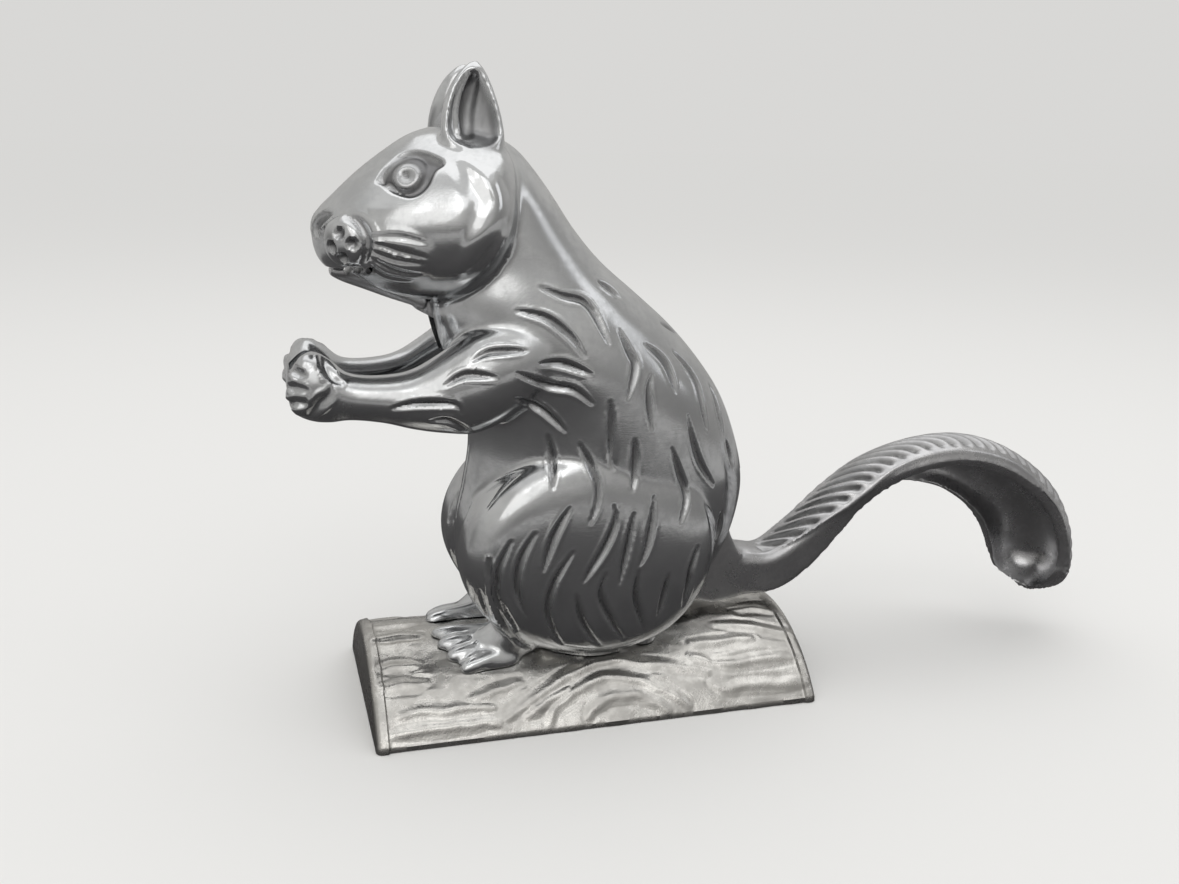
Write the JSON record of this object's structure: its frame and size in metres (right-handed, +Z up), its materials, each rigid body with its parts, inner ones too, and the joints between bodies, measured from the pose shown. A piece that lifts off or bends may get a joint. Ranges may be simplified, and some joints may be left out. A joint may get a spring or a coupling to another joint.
{
  "type": "lever nutcracker",
  "caption": "Cast aluminium lever nutcracker in the form of a squirrel sitting on a hollow half log; raising the tail lowers the jaw, and pressing it down cracks the nut in the mouth.",
  "frame": {"origin": "on the table surface, at the centre of the log's footprint", "axes": "+X from the squirrel's nose to its tail, -Y its left side, +Z up"},
  "size_m": [0.2866, 0.08, 0.2006],
  "materials": {
    "log_alloy": "cast, softly polished",
    "body_alloy": "cast, mirror polished",
    "tail_alloy": "cast, polished on top, dull at the sides",
    "steel": "plain steel"
  },
  "bodies": {
    "figure": {"log_base": "log_alloy", "body_left": "body_alloy", "body_right": "body_alloy", "pivot_pin": "steel", "body_screws": "steel", "base_screws": "steel"},
    "lever": {"tail_lever": "tail_alloy"}
  },
  "joints": [
    {"name": "tail_hinge", "type": "hinge", "parent": "figure", "child": "lever", "pos_m": [0.005, 0, 0.075], "axis": [0, -1, 0], "range_deg": [0, 14]}
  ]
}
